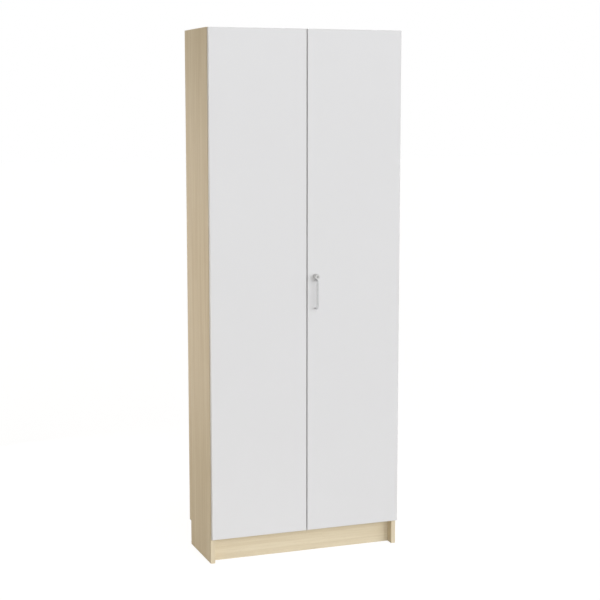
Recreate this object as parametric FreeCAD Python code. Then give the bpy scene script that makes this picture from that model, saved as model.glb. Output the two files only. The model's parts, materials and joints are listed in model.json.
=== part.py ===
import FreeCAD, Part
import math
import os

# Two-door broom cupboard on a recessed plinth.
# Millimetres, +Z up, the front towards -Y, the origin on the floor at the middle of the whole outline.

Vec = FreeCAD.Vector

# Overall sizes
height = 2100.0
width = 800.0
carcass_depth = 300.0

# Boards
board = 18.0
back_thickness = 4.0
door_thickness = 16.0
board_edge_radius = 0.8
door_edge_radius = 1.5

# Base
plinth_height = 100.0
plinth_recess = 38.0
rear_plinth_inset = 40.0
skirting_height = 100.0
skirting_depth = 20.0

# Doors, measured against the carcass
door_gap = 3.5
door_side_reveal = 1.0
door_top_reveal = 1.0
door_bottom_reveal = 1.5
door_meeting_gap = 4.0

# Back panel in its groove
groove_depth = 6.0
groove_play = 0.1
back_edge_play = 0.5

# Shelves
shelf_count = 4
shelf_setback = 24.0
shelf_end_play = 0.75
shelf_rear_play = 2.0
hat_bay_height = 364.0
pin_hole_pitch = 32.0
spare_holes_each_way = 1
shelf_pin_radius = 2.5
shelf_pin_reach = 8.0
shelf_pin_seat = 9.0
shelf_pin_inset = 38.0
pin_clearance = 0.05

# Wall rails and their fixing holes
wall_rail_height = 80.0
wall_hole_spacing = 400.0
wall_hole_radius = 4.0

# Broom hooks on their rail
hook_rail_height = 80.0
hook_rail_drop = 60.0
hook_count = 4
hook_rod_radius = 3.0
hook_reach = 42.0
hook_bend = 10.0
hook_tip_rise = 24.0
hook_plate_width = 18.0
hook_plate_height = 46.0
hook_plate_thickness = 2.5
hook_screw_spacing = 32.0

# Carcass fittings in the ends of the top and bottom panels
cam_radius = 7.5
cam_depth = 12.5
cam_from_end = 24.0
cam_from_front = 62.0
cam_from_back = 62.0
cam_slot_depth = 3.0
cam_slot_width = 2.0
cam_bolt_radius = 3.0
cam_bolt_seat = 11.0
dowel_radius = 4.0
dowel_length = 30.0
dowel_from_cam = 32.0
fitting_clearance = 0.1

# Hinges: a cup in the door, one pin across it, and a cranked arm on a plate
hinge_count = 4
hinge_from_end = 100.0
cup_radius = 17.5
cup_depth = 12.0
cup_edge_distance = 3.0
cup_wall = 0.8
cup_pocket_half = 6.5
cup_pocket_length = 30.0
flange_thickness = 1.0
flange_width = 24.0
flange_length = 62.0
cup_screw_spacing = 48.0
cup_screw_offset = 5.5
hinge_pin_radius = 1.25
hinge_pin_length = 19.0
knuckle_wall = 1.0
knuckle_clearance = 0.35
knuckle_width = 12.0
running_clearance = 0.05
arm_thickness = 2.5
arm_length = 62.0
arm_width = 17.0
arm_bend = 3.0
plate_thickness = 4.0
plate_length = 44.0
plate_width = 18.0
plate_wing_length = 50.0
plate_wing_width = 13.0
plate_setback = 20.0
plate_screw_spacing = 32.0
plate_screw_line = 37.0
arm_screw_line = 56.0

# Screws
screw_radius = 2.0
screw_length = 12.0
screw_head_radius = 3.8
screw_head_height = 1.6

# Bolts on the left door
bolt_radius = 4.0
bolt_travel = 16.0
bolt_tip_gap = 4.0
bolt_length = 92.0
bolt_backset = 27.0
bolt_axis_stand = 13.0
bolt_clearance = 0.1
bolt_keyhole_clearance = 0.5
case_width = 20.0
case_length = 74.0
case_plate = 2.0
case_tip_gap = 8.0
guide_length = 14.0
guide_wall = 2.0
bolt_knob_radius = 3.0
bolt_knob_reach = 12.0
keeper_plate = 1.5
keeper_width = 18.0
keeper_length = 34.0
keeper_setback = 1.0
bolt_hole_spare = 1.0
case_corner = 5.0
case_screw_inset = 28.0

# Lock
lock_height = 1135.5
lock_backset = 32.5
lock_radius = 10.0
lock_reach = 28.0
lock_rim_radius = 1.5
barrel_radius = 8.0
barrel_behind_door = 6.0
plug_radius = 5.5
plug_proud = 0.6
plug_behind_barrel = 1.0
plug_clearance = 0.1
keyway_width = 1.8
keyway_height = 7.0
keyway_depth = 4.0
lock_nut_radius = 12.0
lock_nut_height = 4.0
lock_cam_thickness = 2.0
lock_cam_half_width = 5.0
lock_cam_tip_gap = 1.0
cam_screw_head_radius = 4.0
cam_screw_head_height = 2.0
cam_screw_radius = 2.0
cam_screw_length = 8.0
lock_keeper_thickness = 2.0
lock_keeper_lip = 7.5
lock_keeper_depth = 24.0
lock_keeper_height = 34.0
lock_keeper_behind_cam = 1.0
lock_keeper_screw_line = 15.0
lock_keeper_screw_spacing = 17.0

# Pull handle
handle_spacing = 112.0
handle_rod_radius = 4.0
handle_reach = 30.0
handle_bend = 11.0
handle_lock_gap = 1.5
handle_screw_radius = 2.0
handle_screw_grip = 8.0
handle_screw_clearance = 0.25

# Door bumpers
bumper_radius = 2.3
bumper_clearance = 0.3
bumper_from_end = 190.0

# Places worked out from the sizes
half_width = width / 2
inner_half = half_width - board
front = -(carcass_depth - door_gap - door_thickness - handle_reach) / 2
back = front + carcass_depth
back_panel_rear = back - skirting_depth
back_panel_front = back_panel_rear - back_thickness
bottom_top = plinth_height + board
top_under = height - board
door_back = front - door_gap
door_front = door_back - door_thickness
door_bottom = plinth_height + door_bottom_reveal
door_top = height - door_top_reveal
door_outer = half_width - door_side_reveal
door_inner = door_meeting_gap / 2
partition_half = board / 2
hinge_pitch = (door_top - door_bottom - 2 * hinge_from_end) / (hinge_count - 1)
hinge_heights = [door_bottom + hinge_from_end + i * hinge_pitch for i in range(hinge_count)]
bay_height = (top_under - bottom_top - shelf_count * board) / (shelf_count + 1)
shelf_heights = [bottom_top + bay_height * (i + 1) + board * i for i in range(shelf_count)]
hat_shelf_height = top_under - hat_bay_height - board
shelf_front = front + shelf_setback
shelf_back = back_panel_front - shelf_rear_play
pin_lines = (shelf_front + shelf_pin_inset, shelf_back - shelf_pin_inset)
wall_hole_height = top_under - wall_rail_height / 2
hook_rail_top = hat_shelf_height - hook_rail_drop
hook_rail_middle = hook_rail_top - hook_rail_height / 2
fitting_lines = (front + cam_from_front, back - cam_from_back)

# Hinge places on the left door; the right door's hinges mirror them
cup_x = -door_outer + cup_edge_distance + cup_radius
pocket_edge = cup_x - math.sqrt(cup_radius ** 2 - cup_pocket_half ** 2) + cup_wall
knuckle_radius = hinge_pin_radius + knuckle_wall
pivot_x = pocket_edge + knuckle_clearance + knuckle_radius
pivot_y = door_back - cup_depth + cup_wall + knuckle_clearance + knuckle_radius
plate_face = -inner_half + plate_thickness
cup_screw_x = cup_x + cup_screw_offset

# Lock places on the right door, with the handle straight below the lock
lock_x = door_inner + lock_backset
handle_x = lock_x
handle_top = lock_height - lock_radius - handle_lock_gap
handle_middle_height = handle_top - handle_rod_radius - handle_spacing / 2
lock_cam_reach = lock_x - partition_half - lock_keeper_thickness - lock_cam_tip_gap
barrel_end = door_back + barrel_behind_door
plug_end = barrel_end + plug_behind_barrel
bolt_x = -door_inner - bolt_backset
bolt_y = door_back + bolt_axis_stand


def box(x0, x1, y0, y1, z0, z1):
    """A block between two corners."""
    return Part.makeBox(x1 - x0, y1 - y0, z1 - z0, Vec(x0, y0, z0))


def rod(start, direction, radius, length):
    """A round bar from a start point along a direction."""
    return Part.makeCylinder(radius, length, start, direction)


def cut_all(shape, tools):
    """A shape with a list of tools cut out of it."""
    return shape.cut(Part.makeCompound(tools)) if tools else shape


def mirrored(shape):
    """The same shape on the other side of the cupboard."""
    return shape.mirror(Vec(0, 0, 0), Vec(1, 0, 0))


def both_ways(tools):
    """Tools together with their mirror images."""
    return tools + [mirrored(tool) for tool in tools]


def edges_along(shape, axis, keep):
    """Straight edges that run along an axis (0, 1 or 2) and whose middle passes a test."""
    chosen = []
    for edge in shape.Edges:
        run = edge.Vertexes[1].Point - edge.Vertexes[0].Point
        if abs(abs(run[axis]) - run.Length) < 1e-6 and keep(edge.CenterOfMass):
            chosen.append(edge)
    return chosen


def screw(seat, inward, radius=screw_radius, length=screw_length):
    """A screw whose head rests on its seat and whose shank goes inward."""
    head = Part.makeCone(screw_head_radius, radius, screw_head_height, seat, -inward)
    return head.fuse(rod(seat, inward, radius, length)).removeSplitter()


def pilot(seat, inward, radius=screw_radius, length=screw_length):
    """The hole for such a screw."""
    return rod(seat, inward, radius + pin_clearance, length + fitting_clearance)


# Carcass fittings: places first, so that boards and fittings share them

def fitting_levels():
    """The lower face, the level of the cam's mouth and its inward direction for each horizontal panel."""
    return ((plinth_height, plinth_height, Vec(0, 0, 1)), (top_under, height, Vec(0, 0, -1)))


def cam_places():
    """Mouth and inward direction of each cam disc on the left half."""
    places = []
    for _, mouth, inward in fitting_levels():
        for line in fitting_lines:
            places.append((Vec(-inner_half + cam_from_end, line, mouth), inward))
    return places


def cam_bolt_places():
    """Where each cam bolt passes the left side panel's inner face."""
    levels = [low + board / 2 for low, _, _ in fitting_levels()]
    return [Vec(-inner_half, line, level) for level in levels for line in fitting_lines]


def dowel_places():
    """Where each dowel passes the left side panel's inner face."""
    spots = []
    for low, _, _ in fitting_levels():
        spots.append(Vec(-inner_half, fitting_lines[0] + dowel_from_cam, low + board / 2))
        spots.append(Vec(-inner_half, fitting_lines[1] - dowel_from_cam, low + board / 2))
    return spots


def partition_dowel_places():
    """Where each upright dowel passes from the partition into the bottom or top panel."""
    return [Vec(0, line, level) for level in (bottom_top, top_under) for line in fitting_lines]


def dowel(middle, direction, play=0.0):
    """A dowel centred on a joint, or its hole when play is given."""
    length = dowel_length + 2 * play
    return rod(middle - direction * (length / 2), direction, dowel_radius + play, length)


def fitting_holes():
    """Holes for cams, cam bolts and dowels on the left half."""
    right = Vec(1, 0, 0)
    tools = []
    for mouth, inward in cam_places():
        tools.append(rod(mouth, inward, cam_radius + fitting_clearance, cam_depth + fitting_clearance))
    for spot in cam_bolt_places():
        start = spot - right * (cam_bolt_seat + fitting_clearance)
        tools.append(rod(start, right, cam_bolt_radius + fitting_clearance, cam_bolt_seat + cam_from_end))
    tools += [dowel(spot, right, fitting_clearance) for spot in dowel_places()]
    return tools


def partition_dowel_holes():
    """Holes for the upright dowels of the partition."""
    return [dowel(spot, Vec(0, 0, 1), fitting_clearance) for spot in partition_dowel_places()]


def cam_discs():
    """Disc fittings with a cross slot in the open face."""
    discs = []
    slot_size = Vec(cam_radius, cam_slot_width, 0)
    for mouth, inward in cam_places():
        disc = rod(mouth, inward, cam_radius, cam_depth)
        low = mouth if inward.z > 0 else mouth - Vec(0, 0, cam_slot_depth)
        for turn in (0, 90):
            slot = Part.makeBox(cam_radius, cam_slot_width, cam_slot_depth, low - slot_size / 2)
            slot.rotate(mouth, Vec(0, 0, 1), turn)
            disc = disc.cut(slot)
        discs.append(disc)
    return Part.makeCompound(both_ways(discs))


def cam_bolts():
    """Bolts from the side panels to the cams."""
    length = cam_bolt_seat + cam_from_end - cam_radius - 2 * fitting_clearance
    bolts = []
    for spot in cam_bolt_places():
        bolts.append(rod(spot - Vec(cam_bolt_seat, 0, 0), Vec(1, 0, 0), cam_bolt_radius, length))
    return Part.makeCompound(both_ways(bolts))


def carcass_dowels():
    """Wooden dowels between the sides, the partition and the horizontal panels."""
    sides = [dowel(spot, Vec(1, 0, 0)) for spot in dowel_places()]
    upright = [dowel(spot, Vec(0, 0, 1)) for spot in partition_dowel_places()]
    return Part.makeCompound(both_ways(sides) + upright)


# Shelf pins: a row of holes round each shelf

def pin_level(shelf_low):
    """Height of the pins that carry a shelf."""
    return shelf_low - shelf_pin_radius - pin_clearance


def pin_holes(face_x, direction, shelf_lows):
    """Rows of pin holes that go into a board from its face."""
    holes = []
    for low in shelf_lows:
        for line in pin_lines:
            for step in range(-spare_holes_each_way, spare_holes_each_way + 1):
                mouth = Vec(face_x, line, pin_level(low) + step * pin_hole_pitch)
                holes.append(rod(mouth, direction, shelf_pin_radius + pin_clearance, shelf_pin_seat))
    return holes


def shelf_pins():
    """Pins under the hat shelf and under every adjustable shelf."""
    pins = []
    length = shelf_pin_seat + shelf_pin_reach - fitting_clearance
    rows = [(-inner_half, 1, (hat_shelf_height,)), (-partition_half, -1, (hat_shelf_height,)),
            (partition_half, 1, shelf_heights), (inner_half, -1, shelf_heights)]
    for face_x, way, lows in rows:
        for low in lows:
            for line in pin_lines:
                start = Vec(face_x - way * (shelf_pin_seat - fitting_clearance), line, pin_level(low))
                pins.append(rod(start, Vec(way, 0, 0), shelf_pin_radius, length))
    return Part.makeCompound(pins)


# Carcass boards

def back_groove(play):
    """The space of the back panel, widened by a play for its groove."""
    reach = groove_depth if play else groove_depth - back_edge_play
    return box(-inner_half - reach, inner_half + reach, back_panel_front - play, back_panel_rear + play,
               bottom_top - reach, top_under + reach)


def side_panel():
    """Left side panel: skirting notch, back groove, fitting and hinge holes, rounded front edges."""
    panel = box(-half_width, -inner_half, front, back, 0, height)
    panel = panel.makeFillet(board_edge_radius, edges_along(panel, 2, lambda p: p.y < front + 1))
    notch = box(-half_width, -inner_half, back - skirting_depth, back, 0, skirting_height)
    tools = [notch, back_groove(groove_play)] + fitting_holes() + plate_pilots()
    return cut_all(panel, tools)


def left_side_panel():
    """Left side panel with the pin holes of the hat shelf."""
    return cut_all(side_panel(), pin_holes(-inner_half, Vec(-1, 0, 0), (hat_shelf_height,)))


def right_side_panel():
    """Right side panel with the pin holes of the adjustable shelves."""
    return cut_all(mirrored(side_panel()), pin_holes(inner_half, Vec(1, 0, 0), shelf_heights))


def horizontal_panel(low, bolt_hole):
    """Top or bottom panel between the sides."""
    panel = box(-inner_half, inner_half, front, back, low, low + board)
    panel = panel.makeFillet(board_edge_radius, edges_along(panel, 0, lambda p: p.y < front + 1))
    tools = [back_groove(groove_play), bolt_hole] + both_ways(fitting_holes()) + partition_dowel_holes()
    return cut_all(panel, tools)


def back_panel():
    """Thin back panel with the two wall-fixing holes."""
    return cut_all(back_groove(0), wall_holes())


def partition():
    """Upright partition between the bays, with dowel, pin and keeper holes."""
    panel = box(-partition_half, partition_half, front, back_panel_front, bottom_top, top_under)
    panel = panel.makeFillet(board_edge_radius, edges_along(panel, 2, lambda p: p.y < front + 1))
    tools = pin_holes(-partition_half, Vec(1, 0, 0), (hat_shelf_height,))
    tools += pin_holes(partition_half, Vec(-1, 0, 0), shelf_heights)
    tools += partition_dowel_holes() + [pilot(seat, way) for seat, way in keeper_screw_places()]
    return cut_all(panel, tools)


def plinth(face):
    """A plinth board between the sides whose front lies at a given depth."""
    return box(-inner_half, inner_half, face, face + board, 0, plinth_height)


def wall_holes():
    """The wall-fixing holes through the rails and the back panel."""
    start = back_panel_front - board
    return [rod(Vec(side * wall_hole_spacing / 2, start, wall_hole_height), Vec(0, 1, 0),
                wall_hole_radius, board + back_thickness) for side in (-1, 1)]


def left_wall_rail():
    """Rail at the top of the left bay that takes the wall screws."""
    rail = box(-inner_half, -partition_half, back_panel_front - board, back_panel_front,
               top_under - wall_rail_height, top_under)
    return cut_all(rail, wall_holes())


def shelf(left, right, low):
    """A shelf board on its pins, with a rounded front edge."""
    panel = box(left + shelf_end_play, right - shelf_end_play, shelf_front, shelf_back, low, low + board)
    return panel.makeFillet(board_edge_radius, edges_along(panel, 0, lambda p: p.y < shelf_front + 1))


# Broom hooks

def hook_places():
    """Middle of each hook's plate on the front of its rail."""
    span = inner_half - partition_half
    face = back_panel_front - board
    steps = [span * (i + 0.5) / hook_count for i in range(hook_count)]
    return [Vec(-inner_half + step, face, hook_rail_middle) for step in steps]


def hook_screw_places():
    """Seats of the hook screws on the plates."""
    seats = []
    for middle in hook_places():
        for side in (-1, 1):
            lift = side * hook_screw_spacing / 2
            seats.append((middle + Vec(0, -hook_plate_thickness, lift), Vec(0, 1, 0)))
    return seats


def hook_rail():
    """Rail across the left bay with pilot holes for the hooks."""
    rail = box(-inner_half, -partition_half, back_panel_front - board, back_panel_front,
               hook_rail_top - hook_rail_height, hook_rail_top)
    return cut_all(rail, [pilot(seat, way) for seat, way in hook_screw_places()])


def bent_rod(points, bend, radius):
    """A round rod along straight runs joined by arcs of one bend radius."""
    edges = []
    start = points[0]
    for before, corner, after in zip(points, points[1:], points[2:]):
        into = (corner - before).normalize()
        out = (after - corner).normalize()
        half_turn = into.getAngle(out) / 2
        trim = bend * math.tan(half_turn)
        arc_start = corner - into * trim
        arc_end = corner + out * trim
        inward = (out - into).normalize()
        middle = corner + inward * (bend / math.cos(half_turn) - bend)
        edges.append(Part.LineSegment(start, arc_start).toShape())
        edges.append(Part.Arc(arc_start, middle, arc_end).toShape())
        start = arc_end
    edges.append(Part.LineSegment(start, points[-1]).toShape())
    section = Part.Wire([Part.Circle(points[0], (points[1] - points[0]).normalize(), radius).toShape()])
    return Part.Wire(edges).makePipeShell([section], True, False)


def tool_hooks():
    """Bent rod hooks, each on a small screwed plate."""
    hooks = []
    for middle in hook_places():
        plate = box(middle.x - hook_plate_width / 2, middle.x + hook_plate_width / 2,
                    middle.y - hook_plate_thickness, middle.y,
                    middle.z - hook_plate_height / 2, middle.z + hook_plate_height / 2)
        plate = plate.makeFillet(hook_plate_width / 3, edges_along(plate, 1, lambda p: True))
        root = middle - Vec(0, hook_plate_thickness / 2, 0)
        tip = root - Vec(0, hook_reach, 0)
        arm = bent_rod([root, tip, tip + Vec(0, 0, hook_tip_rise)], hook_bend, hook_rod_radius)
        hook = plate.fuse(arm).removeSplitter()
        hooks.append(cut_all(hook, hook_plate_holes(middle)))
    return Part.makeCompound(hooks)


def hook_plate_holes(middle):
    """Clearance holes of one hook plate."""
    return [rod(middle + Vec(0, -hook_plate_thickness, side * hook_screw_spacing / 2), Vec(0, 1, 0),
                screw_radius + pin_clearance, hook_plate_thickness) for side in (-1, 1)]


# Hinges, modelled on the left door

def plate_screw_places():
    """Seats of the plate screws on the left side, and their direction."""
    seats = []
    for level in hinge_heights:
        for side in (-1, 1):
            seats.append((Vec(-inner_half + plate_thickness / 2, front + plate_screw_line,
                              level + side * plate_screw_spacing / 2), Vec(-1, 0, 0)))
    return seats


def plate_pilots():
    """Holes in the side panel for the plate screws."""
    return [pilot(seat, way) for seat, way in plate_screw_places()]


def hinge_plates():
    """Mounting plates: a raised rail with two thin screwed wings."""
    plates = []
    for level in hinge_heights:
        rail = box(-inner_half, plate_face, front + plate_setback, front + plate_setback + plate_length,
                   level - plate_width / 2, level + plate_width / 2)
        wing_front = front + plate_screw_line - plate_wing_width / 2
        wing = box(-inner_half, -inner_half + plate_thickness / 2, wing_front, wing_front + plate_wing_width,
                   level - plate_wing_length / 2, level + plate_wing_length / 2)
        wing = wing.makeFillet(plate_wing_width / 3, edges_along(wing, 0, lambda p: True))
        plate = rail.fuse(wing).removeSplitter()
        holes = [rod(seat, way, screw_radius + pin_clearance, plate_thickness)
                 for seat, way in plate_screw_places() if abs(seat.z - level) < plate_wing_length / 2]
        holes.append(arm_screw_hole(level))
        plates.append(cut_all(plate, holes))
    return Part.makeCompound(plates)


def arm_screw_seat(level):
    """Where the arm screw's head rests on the arm."""
    return Vec(plate_face + arm_thickness, front + arm_screw_line, level)


def arm_screw_hole(level):
    """The hole of the arm screw through the arm and the plate."""
    depth = arm_thickness + plate_thickness
    return rod(arm_screw_seat(level), Vec(-1, 0, 0), screw_radius + pin_clearance, depth)


def arm_profile():
    """Plan outline of a hinge arm: along the plate, out past the carcass front and round to the pin."""
    inside = plate_face
    outside = plate_face + arm_thickness
    top = pivot_y + arm_thickness / 2
    low = pivot_y - arm_thickness / 2
    far = front + plate_setback + arm_length
    bend = arm_bend * math.sqrt(0.5)
    outer_bend = arm_bend + arm_thickness
    outer_mid = outer_bend * (1 - math.sqrt(0.5))
    inner_mid = arm_bend - bend
    points = [Vec(inside, far, 0), Vec(inside, top + arm_bend, 0)]
    edges = [Part.LineSegment(points[0], points[1]).toShape()]
    inner_end = Vec(inside - arm_bend, top, 0)
    inner_middle = Vec(inside - inner_mid, top + inner_mid, 0)
    edges.append(Part.Arc(points[1], inner_middle, inner_end).toShape())
    edges.append(Part.LineSegment(inner_end, Vec(pivot_x, top, 0)).toShape())
    edges.append(Part.LineSegment(Vec(pivot_x, top, 0), Vec(pivot_x, low, 0)).toShape())
    outer_start = Vec(outside - outer_bend, low, 0)
    outer_end = Vec(outside, low + outer_bend, 0)
    edges.append(Part.LineSegment(Vec(pivot_x, low, 0), outer_start).toShape())
    outer_middle = Vec(outside - outer_mid, low + outer_mid, 0)
    edges.append(Part.Arc(outer_start, outer_middle, outer_end).toShape())
    edges.append(Part.LineSegment(outer_end, Vec(outside, far, 0)).toShape())
    edges.append(Part.LineSegment(Vec(outside, far, 0), points[0]).toShape())
    return Part.Face(Part.Wire(edges))


def hinge_arms():
    """Cranked arms with a knuckle round the pin, narrow in the cup and wide on the plate."""
    arms = []
    for level in hinge_heights:
        strip = arm_profile().extrude(Vec(0, 0, arm_width))
        strip.translate(Vec(0, 0, level - arm_width / 2))
        shoulder = front + plate_setback / 2
        spare = [box(-half_width, 0, door_front, shoulder, level + knuckle_width / 2, level + arm_width),
                 box(-half_width, 0, door_front, shoulder, level - arm_width, level - knuckle_width / 2)]
        strip = cut_all(strip, spare)
        centre = Vec(pivot_x, pivot_y, level - knuckle_width / 2)
        arm = strip.fuse(rod(centre, Vec(0, 0, 1), knuckle_radius, knuckle_width)).removeSplitter()
        eye = rod(centre, Vec(0, 0, 1), hinge_pin_radius + running_clearance, knuckle_width)
        arms.append(cut_all(arm, [eye, arm_screw_hole(level)]))
    return Part.makeCompound(arms)


def cup_screw_places():
    """Seats of the cup screws on the flanges, and their direction."""
    seats = []
    for level in hinge_heights:
        for side in (-1, 1):
            lift = side * cup_screw_spacing / 2
            seats.append((Vec(cup_screw_x, door_back + flange_thickness, level + lift), Vec(0, -1, 0)))
    return seats


def hinge_cups():
    """Cups with a flange, a pocket for the arm and a cross hole for the pin."""
    cups = []
    for level in hinge_heights:
        cup = rod(Vec(cup_x, door_back, level), Vec(0, -1, 0), cup_radius, cup_depth)
        flange = box(cup_screw_x - flange_width / 2, cup_screw_x + flange_width / 2, door_back,
                     door_back + flange_thickness, level - flange_length / 2, level + flange_length / 2)
        flange = flange.makeFillet(flange_width / 3, edges_along(flange, 1, lambda p: True))
        rim = rod(Vec(cup_x, door_back, level), Vec(0, 1, 0), cup_radius, flange_thickness)
        body = cup.fuse([flange, rim]).removeSplitter()
        pocket = box(pocket_edge, pocket_edge + cup_pocket_length, door_back - cup_depth + cup_wall,
                     door_back + flange_thickness, level - cup_pocket_half, level + cup_pocket_half)
        pin_hole = hinge_pin(level)
        holes = [rod(seat, way, screw_radius + pin_clearance, flange_thickness)
                 for seat, way in cup_screw_places() if abs(seat.z - level) < flange_length / 2]
        cups.append(cut_all(body, [pocket, pin_hole] + holes))
    return Part.makeCompound(cups)


def hinge_pin(level):
    """One hinge pin across a cup."""
    start = Vec(pivot_x, pivot_y, level - hinge_pin_length / 2)
    return rod(start, Vec(0, 0, 1), hinge_pin_radius, hinge_pin_length)


def hinge_pins():
    """The pins of one door."""
    return Part.makeCompound([hinge_pin(level) for level in hinge_heights])


def screws(places):
    """A group of screws at a list of seats."""
    return Part.makeCompound([screw(seat, way) for seat, way in places])


def arm_screws():
    """The screws that hold the arms on their plates."""
    length = arm_thickness + plate_thickness
    seats = [arm_screw_seat(level) for level in hinge_heights]
    return Part.makeCompound([screw(seat, Vec(-1, 0, 0), length=length) for seat in seats])


# Doors

def door_blank():
    """Left door with rounded edges and the bores of its hinge cups."""
    panel = box(-door_outer, -door_inner, door_front, door_back, door_bottom, door_top)
    rim = edges_along(panel, 0, lambda p: True) + edges_along(panel, 2, lambda p: True)
    panel = panel.makeFillet(door_edge_radius, rim)
    mouths = [Vec(cup_x, door_back, level) for level in hinge_heights]
    bores = [rod(mouth, Vec(0, -1, 0), cup_radius, cup_depth) for mouth in mouths]
    bores += [pilot(seat, way) for seat, way in cup_screw_places()]
    return cut_all(panel, bores)


def left_door_panel():
    """Left door with pilot holes for its bolt cases."""
    return cut_all(door_blank(), [pilot(seat, way) for seat, way in case_screw_places()])


def right_door_panel():
    """Right door with the bore of the lock and the holes of the handle screws."""
    axis = Vec(0, 1, 0)
    tools = [rod(Vec(lock_x, door_front, lock_height), axis, barrel_radius + pin_clearance, door_thickness)]
    for level in handle_levels():
        radius = handle_screw_radius + handle_screw_clearance
        tools.append(rod(Vec(handle_x, door_front, level), axis, radius, door_thickness))
    return cut_all(mirrored(door_blank()), tools)


def door_bumpers():
    """Soft buffers on the left door that meet the partition's edge, where both are flat."""
    middle = -(door_inner + door_edge_radius + partition_half - board_edge_radius) / 2
    levels = (door_bottom + bumper_from_end, door_top - bumper_from_end)
    reach = door_gap - bumper_clearance
    return Part.makeCompound([rod(Vec(middle, door_back, level), Vec(0, 1, 0), bumper_radius, reach)
                              for level in levels])


# Bolts of the left door, described as the way they travel

def bolt_ends():
    """Level of the panel face that each bolt enters, and the way it travels."""
    return {"top": (top_under, 1), "bottom": (bottom_top, -1)}


def case_span(end):
    """Low and high level of a bolt case."""
    face, way = bolt_ends()[end]
    near = face - way * case_tip_gap
    far = near - way * case_length
    return min(near, far), max(near, far)


def case_screw_places():
    """Seats of the case screws on the left door, and their direction."""
    seats = []
    for end in bolt_ends():
        low, high = case_span(end)
        for level in (low + case_screw_inset, high - case_screw_inset):
            seats.append((Vec(bolt_x, door_back + case_plate, level), Vec(0, -1, 0)))
    return seats


def bolt_case(end):
    """A back plate with two round guides for the bolt."""
    low, high = case_span(end)
    half = case_width / 2
    plate = box(bolt_x - half, bolt_x + half, door_back, door_back + case_plate, low, high)
    plate = plate.makeFillet(case_corner, edges_along(plate, 1, lambda p: True))
    outer = bolt_radius + bolt_clearance + guide_wall
    guides = []
    for level in (low + case_corner, high - case_corner - guide_length):
        post = box(bolt_x - outer, bolt_x + outer, door_back, bolt_y, level, level + guide_length)
        guides += [post, rod(Vec(bolt_x, bolt_y, level), Vec(0, 0, 1), outer, guide_length)]
    body = plate.fuse(guides).removeSplitter()
    bore = rod(Vec(bolt_x, bolt_y, low), Vec(0, 0, 1), bolt_radius + bolt_clearance, high - low)
    holes = [rod(seat, way, screw_radius + pin_clearance, case_plate)
             for seat, way in case_screw_places() if low < seat.z < high]
    return cut_all(body, [bore] + holes)


def sliding_bolt(end):
    """A round bolt with a rounded tip and a finger knob, drawn back."""
    face, way = bolt_ends()[end]
    along = Vec(0, 0, way)
    tip = Vec(bolt_x, bolt_y, face - way * bolt_tip_gap)
    bolt = rod(tip - along * bolt_length, along, bolt_radius, bolt_length)
    bolt = bolt.makeFillet(bolt_radius / 4, [bolt.Edges[0], bolt.Edges[2]])
    low, high = case_span(end)
    knob_level = (low + high) / 2 - way * bolt_travel / 2
    knob = rod(Vec(bolt_x, bolt_y, knob_level), Vec(0, 1, 0), bolt_knob_radius, bolt_radius + bolt_knob_reach)
    return bolt.fuse(knob).removeSplitter()


def bolt_hole(end):
    """The hole that a bolt enters, through its keeper and into the panel."""
    face, way = bolt_ends()[end]
    depth = bolt_travel - bolt_tip_gap + bolt_hole_spare
    radius = bolt_radius + bolt_keyhole_clearance
    return rod(Vec(bolt_x, bolt_y, face - way * keeper_plate), Vec(0, 0, way), radius, depth + keeper_plate)


def bolt_keeper(end):
    """A thin plate on the panel round the bolt's hole."""
    face, way = bolt_ends()[end]
    other = face - way * keeper_plate
    plate = box(bolt_x - keeper_length / 2, bolt_x + keeper_length / 2, front + keeper_setback,
                front + keeper_setback + keeper_width,
                min(face, other), max(face, other))
    plate = plate.makeFillet(keeper_width / 4, edges_along(plate, 2, lambda p: True))
    return plate.cut(bolt_hole(end))


# Lock of the right door

def turned(profile, spot):
    """A solid turned about the lock's axis from (radius, depth) points, depth being the Y place."""
    points = [Vec(spot.x + radius, depth, spot.z) for radius, depth in profile]
    face = Part.Face(Part.makePolygon(points + points[:1]))
    return face.revolve(Vec(spot.x, 0, spot.z), Vec(0, 1, 0), 360)


def lock_middle():
    """A point on the lock's axis."""
    return Vec(lock_x, door_front, lock_height)


def lock_housing():
    """Housing: a round head with an eased rim in front and a barrel through the door."""
    face = door_front - lock_reach
    inner = plug_radius + plug_clearance
    profile = [(inner, face), (lock_radius - lock_rim_radius, face), (lock_radius, face + lock_rim_radius),
               (lock_radius, door_front), (barrel_radius, door_front), (barrel_radius, barrel_end),
               (inner, barrel_end)]
    return turned(profile, lock_middle())


def lock_nut():
    """Six-sided nut that holds the barrel behind the door."""
    points = []
    for i in range(6):
        turn = math.radians(60 * i)
        points.append(Vec(lock_x + lock_nut_radius * math.cos(turn), door_back,
                          lock_height + lock_nut_radius * math.sin(turn)))
    nut = Part.Face(Part.makePolygon(points + points[:1])).extrude(Vec(0, lock_nut_height, 0))
    return nut.cut(rod(Vec(lock_x, door_back, lock_height), Vec(0, 1, 0), barrel_radius, lock_nut_height))


def cam_screw_hole():
    """The hole of the cam screw in the plug and the cam."""
    start = Vec(lock_x, plug_end + lock_cam_thickness, lock_height)
    return rod(start, Vec(0, -1, 0), cam_screw_radius, cam_screw_length)


def lock_plug():
    """Plug with a keyway in its face."""
    face = door_front - lock_reach - plug_proud
    plug = rod(Vec(lock_x, face, lock_height), Vec(0, 1, 0), plug_radius, plug_end - face)
    keyway = box(lock_x - keyway_width / 2, lock_x + keyway_width / 2, face, face + keyway_depth,
                 lock_height - keyway_height / 2, lock_height + keyway_height / 2)
    return plug.cut(keyway).cut(cam_screw_hole())


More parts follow.
